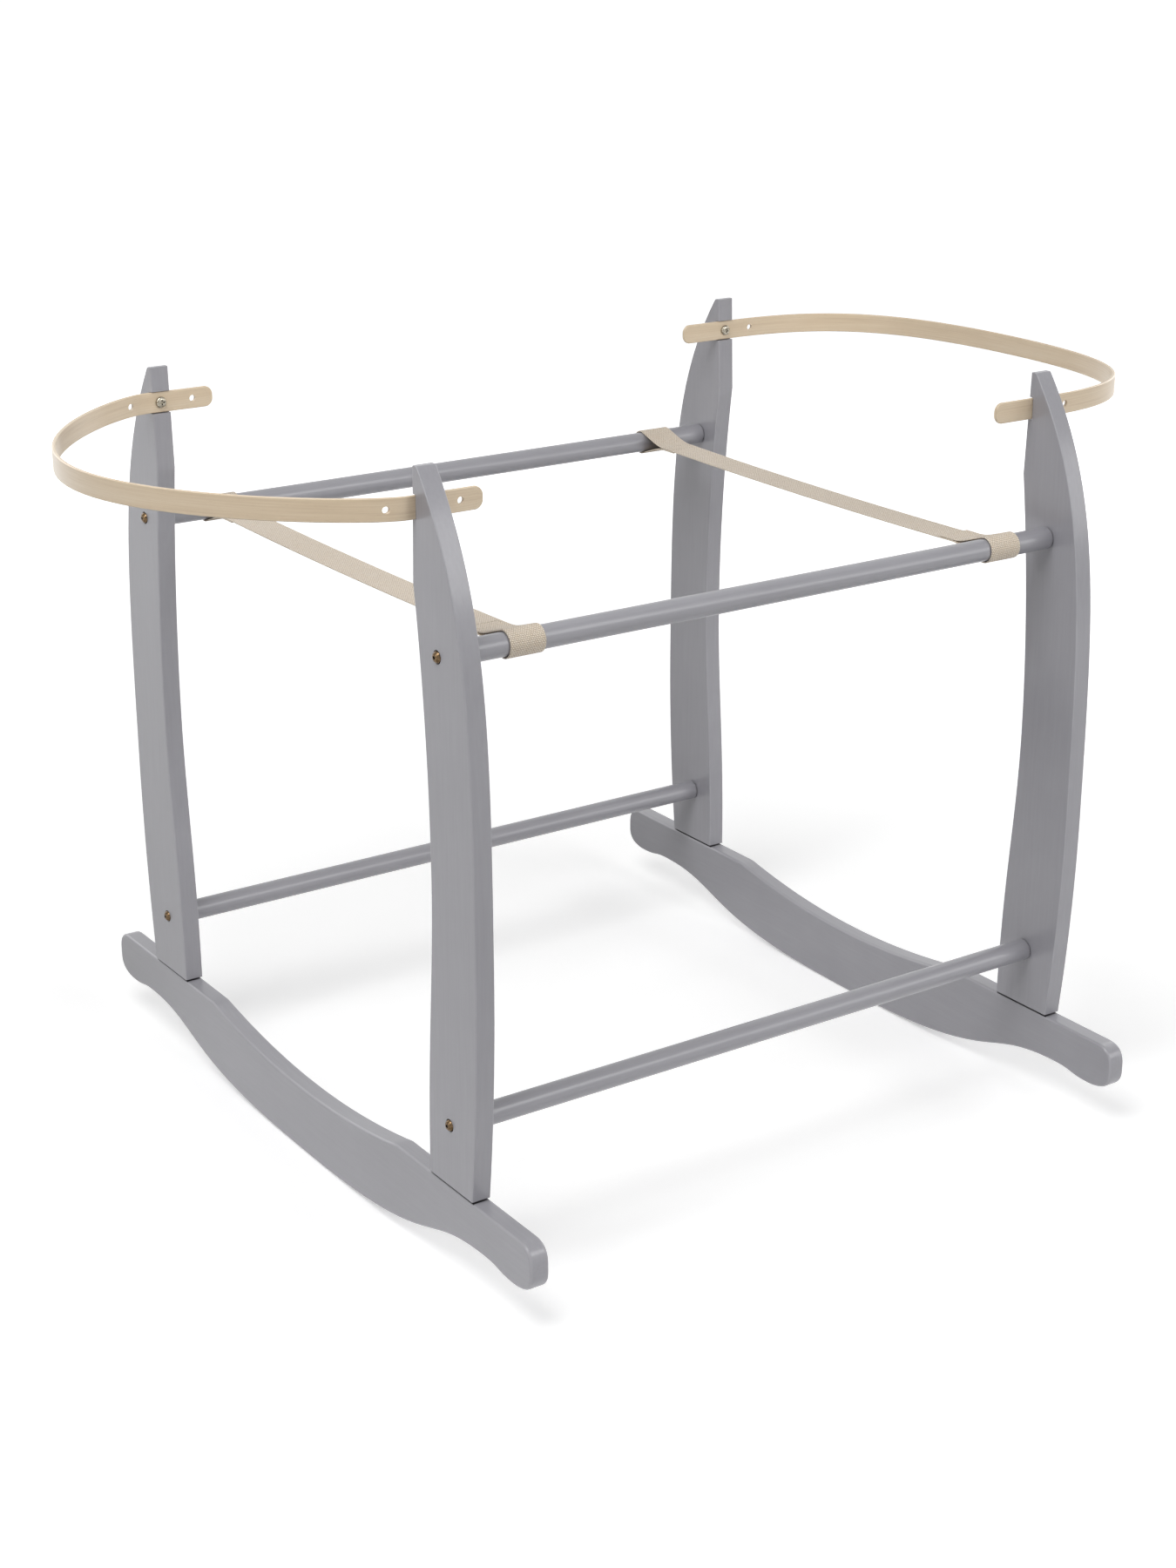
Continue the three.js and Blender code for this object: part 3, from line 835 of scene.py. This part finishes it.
# %% Tree helpers
def new_tree(name, sizes):
    """An empty Geometry Nodes tree with its named inputs."""
    tree = bpy.data.node_groups.new(name, "GeometryNodeTree")
    for label, kind in {"Geometry": "Geometry", **sizes}.items():
        tree.interface.new_socket(label, in_out="INPUT", socket_type=f"NodeSocket{kind}")
    tree.interface.new_socket("Geometry", in_out="OUTPUT", socket_type="NodeSocketGeometry")
    return tree, tree.nodes.new("NodeGroupInput").outputs


def stored(tree, name):
    return result(tree, "GeometryNodeInputNamedAttribute", {"Name": name})


def chance(tree, seed, low, high):
    """A value between two others, drawn anew for each copy from a fixed seed."""
    values = {"Seed": seed, 2: low, 3: high}
    return result(tree, "FunctionNodeRandomValue", values, 1, data_type="FLOAT")


def deliver(tree, geometry, finish):
    """Ends a tree: copies become real meshes, and the finish is set."""
    real = result(tree, "GeometryNodeRealizeInstances", {"Geometry": geometry})
    finished = result(tree, "GeometryNodeSetMaterial", {"Geometry": real, "Material": finish})
    tree.links.new(finished, tree.nodes.new("NodeGroupOutput").inputs[0])
    print(tree.name, "is a tree of", len(tree.nodes), "nodes")
    return tree


def grown(piece, tree, **sizes):
    """Runs a tree on a piece with its sizes, and keeps the result as a plain mesh."""
    modifier = piece.modifiers.new("grown", "NODES")
    modifier.node_group = tree
    for item in tree.interface.items_tree:
        if item.in_out == "INPUT" and item.name in sizes:
            modifier[item.identifier] = sizes[item.name]
    return settled(piece)


print("helpers: Geometry Nodes")

# %% Strip tree
WAVER_SCALE = 130
tree, given = new_tree("strip_along_path", {
    "Width": "Float", "Thickness": "Float", "Edge": "Float", "Waver": "Float", "Finish": "Material",
})
path = result(tree, "GeometryNodeMeshToCurve", {"Mesh": given["Geometry"]})
upright = result(tree, "GeometryNodeSetCurveNormal", {"Curve": path}, mode="Z_UP")
section = result(tree, "GeometryNodeCurvePrimitiveQuadrilateral", {
    "Width": given["Thickness"], "Height": given["Width"],
})
rounded = result(tree, "GeometryNodeFilletCurve", {
    "Curve": section, "Count": 3, "Radius": given["Edge"],
}, mode="POLY")
swept = result(tree, "GeometryNodeCurveToMesh", {
    "Curve": upright, "Profile Curve": rounded, "Fill Caps": True,
})
place = apart(tree, result(tree, "GeometryNodeInputPosition"))
on_strip = combined(tree, stored(tree, "along"), place["Z"])
wavering = maths(tree, "SUBTRACT", noise(tree, on_strip, WAVER_SCALE), 0.5)
waver = maths(tree, "MULTIPLY", wavering, given["Waver"])
width_share = maths(tree, "ADD", stored(tree, "narrow"), waver)
narrowed = maths(tree, "MULTIPLY", place["Z"], width_share)
with_map = result(tree, "GeometryNodeStoreNamedAttribute", {
    "Geometry": swept, "Name": "grain", "Value": on_strip,
}, data_type="FLOAT2", domain="CORNER")
shaped = result(tree, "GeometryNodeSetPosition", {
    "Geometry": with_map, "Position": combined(tree, place["X"], place["Y"], narrowed),
})
strip_tree = deliver(tree, shaped, given["Finish"])


# %% Path helper
def path_object(name, points, width, corner=0.0):
    """A chain of edges on the ground, with each point's distance and share of the width."""
    points = np.array(points, float)
    lengths = np.linalg.norm(np.diff(points, axis=0), axis=1)
    along = np.concatenate([[0], np.cumsum(lengths)])
    from_end = np.minimum(np.minimum(along, along[-1] - along), corner)
    drop = corner - np.sqrt(corner ** 2 - (corner - from_end) ** 2)
    chain = [(k, k + 1) for k in range(len(points) - 1)]
    ground = [(x, y, 0) for x, y in points]
    made = from_points(name, ground, chain, along=along, narrow=1 - drop / (width / 2))
    print(name, "is a strip", round(along[-1], 3), "m long")
    return made, along[-1]


print("helpers: paths")

# %% [markdown]
# ## Hoops
#
# Each hoop lies in the notches of two posts and runs out past the stand's end in one bend. It
# leaves the posts straight, so a cubic curve from each post to the hoop's furthest point gives the
# bend. The left hoop is the more pointed one. Its ends are rounded and drilled, and each end has
# spare holes.

# %% Hoops
HOOPS = {
    "left": {"along_handle": 32 * MM, "across_handle": 116 * MM, "spare_holes": (-1, 1)},
    "right": {"along_handle": 112 * MM, "across_handle": 146 * MM, "spare_holes": (1,)},
}
hoop_tail = -hoop_high.x
strip_corner = 6.5 * MM
hole_diameter = 5.2 * MM
hole_pitch = 28.5 * MM
CORNER_POINTS, ARM_POINTS = 12, 16


def hoop_path(hand, bend):
    """The middle line of a hoop's strip, seen from above, from its rear end to its front end."""
    furthest = -hoop_low.x - strip_thickness / 2
    turns = np.linspace(0, math.pi / 2, CORNER_POINTS)
    rear = [[hoop_tail + strip_corner * (1 - math.cos(turn)), strip_place] for turn in turns]
    start = outer_face + 4 * MM
    rear += [[x, strip_place] for x in np.linspace(rear[-1][0], start, ARM_POINTS)[1:-1]]
    rear += stretch(
        (start, strip_place), (start + bend["along_handle"], strip_place),
        (furthest, bend["across_handle"]), (furthest, 0),
    )
    front = [[x, -y] for x, y in reversed(rear)]
    return [[hand * x, y] for x, y in rear + [[furthest, 0]] + front]


def hoop_drills(hand, bend):
    reach = 20 * MM
    drills = []
    for front in SIDES.values():
        for step in (0, *bend["spare_holes"]):
            place = (hand * (post_middle + step * hole_pitch), front * strip_place, hoop_height)
            drills.append(rod("hole_drill", hole_diameter, (-reach, reach), "Z", place))
    return drills


for end, hand in ENDS.items():
    bend = HOOPS[end]
    hoop, _ = path_object(f"hoop_{end}_strip", hoop_path(hand, bend), strip_width, strip_corner)
    grown(
        hoop, strip_tree,
        Width=strip_width, Thickness=strip_thickness, Edge=0.9 * MM, Waver=0.0,
        Finish=bent_wood_finish,
    )
    hoop.data.transform(Matrix.Translation((0, 0, hoop_height)))
    drilled(hoop, hoop_drills(hand, bend))
    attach(dress(smooth(hoop), bent_wood_finish, "bent_wood", f"hoop_{end}"), "stand")

# %% [markdown]
# ## Straps
#
# Each strap is one length of webbing. It runs from rail to rail with a slight sag, turns round
# each rail and is sewn back onto itself. Its path is drawn as seen along the rail, and the same
# tree as the hoops' makes the strip, which is then stood up. The cut ends lie beneath the band,
# apart from the right strap's front end, which lies on top of it.

# %% Straps
strap_low, strap_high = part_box("strap_left")
strap_width = strap_high.x - strap_low.x
webbing_thickness = 1.2 * MM
layer = 0.65 * MM
loop_reach = 30 * MM
hem_length = 22 * MM
strap_sag = 2 * MM
loop_room = 0.5 * MM
loop_radius = rail_diameter / 2 + loop_room + webbing_thickness / 2
lean = math.asin((loop_radius - layer) / loop_reach)
rail_across = rails["upper"].y
rail_height = rails["upper"].z
meet = rail_across - loop_reach
HEM_POINTS, LOOP_POINTS, BAND_POINTS = 8, 44, 72
STRAIGHT_SHARES = (0, 0.33, 0.67)


def between(start, finish, share):
    return [a + share * (b - a) for a, b in zip(start, finish)]


def loop_path(hem):
    """From the sewn end round the rail to the band. A hem of 1 lies beneath, and of -1 on top."""
    easing = 9 * MM
    leaving = (meet + easing * math.cos(lean), -layer - easing * math.sin(lean))
    eased = stretch((meet - easing, -layer), (meet, -layer), leaving)[::2]
    widest = math.pi / 2 + lean
    around = [
        [rail_across + loop_radius * math.cos(turn), loop_radius * math.sin(turn)]
        for turn in np.linspace(-widest, widest, LOOP_POINTS)
    ]
    straight = [between(leaving, around[0], share) for share in STRAIGHT_SHARES]
    points = [[y, -layer] for y in np.linspace(meet - hem_length, meet - easing, HEM_POINTS)[:-1]]
    points += eased + straight + around
    points += [[y, -z] for y, z in reversed(eased + straight)]
    return [[y, hem * z] for y, z in points]


def strap_path(rear_hem, front_hem):
    rear = loop_path(rear_hem)
    front = [[-y, z] for y, z in reversed(loop_path(front_hem))]
    band = []
    for share in np.linspace(0, 1, BAND_POINTS)[1:-1]:
        y, z = between(rear[-1], front[0], share)
        band.append([y, z - 4 * strap_sag * share * (1 - share)])
    return rear + band + front


STRAPS = {"left": (1, 1), "right": (1, -1)}
standing = Matrix(((0, 0, 1, 0), (1, 0, 0, 0), (0, 1, 0, 0), (0, 0, 0, 1)))
straps = {}
for end, hems in STRAPS.items():
    low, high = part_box(f"strap_{end}")
    middle = (low.x + high.x) / 2
    strap, length = path_object(f"strap_{end}_webbing", strap_path(*hems), strap_width)
    grown(
        strap, strip_tree,
        Width=strap_width, Thickness=webbing_thickness, Edge=0.5 * MM, Waver=0.04,
        Finish=webbing_finish,
    )
    strap.data.transform(Matrix.Translation((middle, 0, rail_height)) @ standing)
    dress(smooth(strap, angle=60), webbing_finish, "webbing", f"strap_{end}")
    straps[end] = strap, length, middle

# %% [markdown]
# ## Stitches
#
# The sewn ends are held by a box of stitches through both layers. Stitches are the same small
# shape many times along a seam, which is what instances are for: the tree walks the seam in even
# steps and puts a stitch on each, and a fixed seed makes each one a little longer or shorter.

# %% Stitch tree
SHORTEST, LONGEST = 0.82, 1.1
tree, given = new_tree("stitches_along_seam", {
    "Pitch": "Float", "Length": "Float", "Thread": "Float", "Seed": "Int", "Finish": "Material",
})
seam = result(tree, "GeometryNodeMeshToCurve", {"Mesh": given["Geometry"]})
walk = add(tree, "GeometryNodeCurveToPoints", {
    "Curve": seam, "Length": given["Pitch"],
}, mode="LENGTH").outputs
bead = result(tree, "GeometryNodeMeshUVSphere", {"Segments": 8, "Rings": 6, "Radius": 0.5})
lying = result(tree, "FunctionNodeAlignRotationToVector", {"Vector": walk["Tangent"]}, axis="X")
unevenness = chance(tree, given["Seed"], SHORTEST, LONGEST)
long_size = maths(tree, "MULTIPLY", given["Length"], unevenness)
sewn = result(tree, "GeometryNodeInstanceOnPoints", {
    "Points": walk["Points"], "Instance": bead, "Rotation": lying,
    "Scale": combined(tree, long_size, given["Thread"], given["Thread"]),
})
stitch_tree = deliver(tree, sewn, given["Finish"])

# %% Stitches
SEAM_MARGIN, STANDS_OUT = 3.5 * MM, 0.05 * MM
half = strap_width / 2 - SEAM_MARGIN
inner = meet - hem_length + SEAM_MARGIN
outer = meet - 2 * SEAM_MARGIN
depth = layer + webbing_thickness / 2 + STANDS_OUT
for end, (strap, length, middle) in straps.items():
    corners, chain = [], []
    for front in SIDES.values():
        for face in (-1, 1):
            first = len(corners)
            corners += [
                (middle + x, front * y, rail_height + face * depth)
                for x, y in ((-half, inner), (half, inner), (half, outer), (-half, outer))
            ]
            chain += [(first + k, first + (k + 1) % 4) for k in range(4)]
    stitches = grown(
        from_points(f"strap_{end}_stitches", corners, chain), stitch_tree,
        Pitch=3.1 * MM, Length=2.4 * MM, Thread=0.5 * MM, Seed=4, Finish=thread,
    )
    stitches.data.shade_smooth()
    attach(stitches, f"strap_{end}")
    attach(strap, f"strap_{end}")
    print(stitches.name, len(stitches.data.polygons), "faces")

# %% [markdown]
# ## Bolts and screws
#
# One bolt holds each rail end, and one screw holds each hoop end. A fastener is modelled once,
# with its head towards +X, and a tree puts a copy at each marked place, turned the way its post
# faces. A fixed seed spins each copy about its own axis, because real ones never stop at the same
# angle.

# %% Fastener tree
tree, given = new_tree("copies_at_places", {
    "Pattern": "Object", "Seed": "Int", "Finish": "Material",
})
spots = result(tree, "GeometryNodeMeshToPoints", {"Mesh": given["Geometry"]})
copied = result(tree, "GeometryNodeObjectInfo", {"Object": given["Pattern"]}, "Geometry")
angles = {
    (1, 0, 0): chance(tree, given["Seed"], 0.0, math.tau),
    (0, 0, 1): stored(tree, "facing"),
}
spin, facing = (
    result(tree, "FunctionNodeAxisAngleToRotation", {"Axis": axis, "Angle": angle})
    for axis, angle in angles.items()
)
turned = result(tree, "FunctionNodeRotateRotation", {
    "Rotation": spin, "Rotate By": facing,
}, rotation_space="GLOBAL")
copies = result(tree, "GeometryNodeInstanceOnPoints", {
    "Points": spots, "Instance": copied, "Rotation": turned,
})
fastener_tree = deliver(tree, copies, given["Finish"])

# %% Fastener helpers
DOME_POINTS = 9


def domed(radius, height, rim, crown):
    """The upper part of a head's profile: a rim, a quarter of an ellipse and a flat crown."""
    easing, inset = 0.2 * MM, 0.1 * MM
    profile = [(0, radius), (rim - easing, radius), (rim, radius - inset)]
    for turn in np.linspace(0, math.pi / 2, DOME_POINTS)[1:]:
        along = rim + (height - rim) * math.sin(turn)
        profile.append((along, crown + (radius - crown) * math.cos(turn)))
    return profile + [(height, 0)]


def prism(name, reach, ends, sides, taper=1.0):
    """A prism about X that presses a socket. Reach is how far its corners lie from the axis."""
    shape = bmesh.new()
    turns = [math.tau * (k + 0.5) / sides for k in range(sides)]
    corners = [(math.cos(turn), math.sin(turn)) for turn in turns]
    rings = [
        [shape.verts.new((along, radius * y, radius * z)) for y, z in corners]
        for along, radius in zip(ends, (taper * reach, reach))
    ]
    for k in range(sides):
        follow = (k + 1) % sides
        shape.faces.new((rings[0][k], rings[0][follow], rings[1][follow], rings[1][k]))
    for ring in rings:
        shape.faces.new(ring)
    return from_shape(name, shape)


def place_fasteners(name, pattern, places, finish, slot, seed):
    """places has, for each copy, its spot, the way it faces and the solid that it replaces."""
    spots, facings, replaced = zip(*places)
    made = from_points(name, spots, facing=facings)
    grown(made, fastener_tree, Pattern=pattern, Seed=seed, Finish=finish)
    bpy.data.meshes.remove(pattern.data)
    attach(dress(smooth(made, angle=30), finish, slot, *replaced), "stand")


print("helpers: fasteners")

# %% [markdown]
# The bolts have small round heads that stand out of their seats, so that each one catches a bright
# spot. A dome with a small flat crown gives that, and a hexagonal prism presses its socket.

# %% Bolts
bolt_shank = [(-26 * MM, 0), (-26 * MM, 2.2 * MM), (-25.2 * MM, 3 * MM), (0, 3 * MM)]
bolt_head = domed(radius=4.9 * MM, height=6.2 * MM, rim=1.4 * MM, crown=1.9 * MM)
bolt = lathe("bolt_pattern", bolt_shank + bolt_head)
drilled(bolt, [prism("bolt_socket", reach=1.4 * MM, ends=(4 * MM, 6.8 * MM), sides=6)])

bolt_place = outer_face - bolt_seat_depth + FIT
bolt_places = [
    ((hand * bolt_place, front * middle.y, middle.z),
     0.0 if hand > 0 else math.pi, f"bolt_{level}_{side}_{end}")
    for level, middle in rails.items() for side, end, front, hand in CORNERS
]
place_fasteners("bolts", bolt, bolt_places, brass, "brass", seed=3)

# %% [markdown]
# The hoop screws have flatter pan heads with a cross recess, which narrows towards its bottom. Two
# tapered slots, one across and one up, press it. Each screw faces the middle of the stand.

# %% Hoop screws
UNIT_SQUARE = math.sqrt(0.5)
screw_shank = [(-16 * MM, 0), (-13 * MM, 2 * MM), (0, 2 * MM)]
screw_head = domed(radius=4.5 * MM, height=2.7 * MM, rim=0.8 * MM, crown=2 * MM)
screw = lathe("screw_pattern", screw_shank + screw_head)
slots = []
for name, (wide, high) in {"slot_across": (4.6, 1.1), "slot_up": (1.1, 4.6)}.items():
    slot = prism(name, UNIT_SQUARE, ends=(1.3 * MM, 3.2 * MM), sides=4, taper=0.72)
    slot.data.transform(Matrix.Diagonal((1, wide * MM, high * MM, 1)))
    slots.append(slot)
drilled(screw, slots)

screw_place = strip_place - strip_thickness / 2 - FIT
screw_places = [
    ((hand * post_middle, front * screw_place, hoop_height),
     -front * math.pi / 2, f"screw_hoop_{side}_{end}")
    for side, end, front, hand in CORNERS
]
place_fasteners("hoop_screws", screw, screw_places, nickel, "nickel_plate", seed=8)

# %% [markdown]
# ## Pieces that stay as they are
#
# The dowels and the threaded inserts are hidden in the wood. Their plain solids are already the
# right shape, so they only get a finish.

# %% Hidden pieces
hidden = {"dowel_": beech, "insert_": zinc}
for name, piece in nodes.items():
    for start, finish in hidden.items():
        if name.startswith(start):
            piece.data.materials.clear()
            piece.data.materials.append(finish)
print("hidden pieces:", sum(name.startswith(tuple(hidden)) for name in nodes))

# %% [markdown]
# ## Floor
#
# The photograph is a cut-out on white. The stand stood on a white sheet that reached little
# further than its feet, as its low parts show: they are bright where they face the sheet and
# darker at the back. So the floor throws back less light outside a rectangle. What the camera sees
# of it, directly or mirrored, also glows a little. That makes the floor white and keeps the
# shadow.

# %% Floor
SHEET_WHITE = 0.95
BEYOND_SHEET = 0.12
SHEET_MIDDLE = (0.1, -0.29)
SHEET_HALF = (0.85, 0.47)
SHEET_BLUR = 0.15
GLOW_NEAR, GLOW_FAR = 0.36, 1.0
GLOW_GROWS = (0.5, 2.5)
FLOOR_REACH = 30


def shown(tree):
    """1 for what the camera sees, directly or through something shiny or clear, and 0 otherwise."""
    rays = add(tree, "ShaderNodeLightPath").outputs
    shiny = maths(tree, "MAXIMUM", rays["Is Glossy Ray"], rays["Is Transmission Ray"])
    return maths(tree, "MAXIMUM", rays["Is Camera Ray"], shiny)


corners = [(FLOOR_REACH * x, FLOOR_REACH * y, 0) for x, y in ((-1, -1), (1, -1), (1, 1), (-1, 1))]
floor = from_points("floor", corners, faces=[(0, 1, 2, 3)])

floor_finish, tree, shader = finish_of("floor_white", Roughness=1.0, Specular_IOR_Level=0.0)
spot = object_place(tree)
from_middle = vectors(tree, "SUBTRACT", spot, (*SHEET_MIDDLE, 0))
either_way = vectors(tree, "ABSOLUTE", from_middle)
past = apart(tree, vectors(tree, "SUBTRACT", either_way, (*SHEET_HALF, 0)))
past_edge = maths(tree, "MAXIMUM", past["X"], past["Y"])
whiteness = mapped(tree, past_edge, (0.0, SHEET_BLUR), (SHEET_WHITE, BEYOND_SHEET))
distance = result(tree, "ShaderNodeVectorMath", {0: spot}, "Value", operation="LENGTH")
glow = mapped(tree, distance, GLOW_GROWS, (GLOW_NEAR, GLOW_FAR))
seen = shown(tree)
whitened = result(tree, "ShaderNodeMix", {0: seen, 2: whiteness, 3: SHEET_WHITE})
wire(tree, shader, Base_Color=whitened)
shining = result(tree, "ShaderNodeEmission", {"Strength": maths(tree, "MULTIPLY", glow, seen)})
lit = result(tree, "ShaderNodeAddShader", {0: shader.outputs[0], 1: shining})
tree.links.new(lit, tree.nodes["Material Output"].inputs[0])
floor.data.materials.append(floor_finish)
print("floor: a white sheet of", 2 * SHEET_HALF[0], "by", 2 * SHEET_HALF[1], "m")

# %% [markdown]
# ## Sky
#
# The sky is white where the camera sees it, and gives only a faint even light of its own, so that
# the lamps alone shape the stand.

# %% Sky
SKY_STRENGTH = 0.05
world = bpy.data.worlds.new("sky")
bpy.context.scene.world = world
world.use_nodes = True
tree = world.node_tree
sky = tree.nodes["Background"]
sky.inputs["Color"].default_value = (1, 1, 1, 1)
wire(tree, sky, Strength=mapped(tree, shown(tree), onto=(SKY_STRENGTH, 1.0)))
print("sky: strength", SKY_STRENGTH)

# %% [markdown]
# ## Lamps
#
# Soft boxes are big square lamps with blurred shadows, as a product studio has. Those at the
# front, the left and above follow from the tones of the faces in the photograph. The two at the
# right side and the rear light the sides that it doesn't show, where the paint mirrors neither to
# the camera.

# %% Lamps
STAND_MIDDLE = Vector((0, 0, 0.3))


def soft_box(name, place, size, power):
    """A square lamp that looks at the middle of the stand."""
    lamp = bpy.data.lights.new(name, "AREA")
    lamp.size = size
    lamp.energy = power
    made = as_object(name, lamp)
    aim = (STAND_MIDDLE - Vector(place)).to_track_quat("-Z", "Y")
    made.matrix_world = Matrix.Translation(place) @ aim.to_matrix().to_4x4()


LAMPS = {  # place and side in metres, power in watts
    "left_box": ((-2.3, -0.1, 1.3), 1.1, 11),
    "front_box": ((0.9, -2.35, 1.75), 1.2, 16.5),
    "low_front_box": ((0.2, -2.7, 0.9), 1.4, 7),
    "right_box": ((1.9, -2.0, 1.05), 1.0, 8),
    "top_box": ((0.2, -0.2, 2.6), 1.8, 3),
    "top_left_box": ((-1.2, -0.6, 2.4), 1.4, 28),
    "right_side_box": ((2.5, 0.4, 1.2), 1.6, 17),
    "rear_box": ((-0.5, 2.6, 1.5), 1.7, 14),
}
for name, settings in LAMPS.items():
    soft_box(name, *settings)

bpy.context.scene.view_settings.view_transform = "Standard"
print("light:", len(LAMPS), "soft boxes and an even sky")
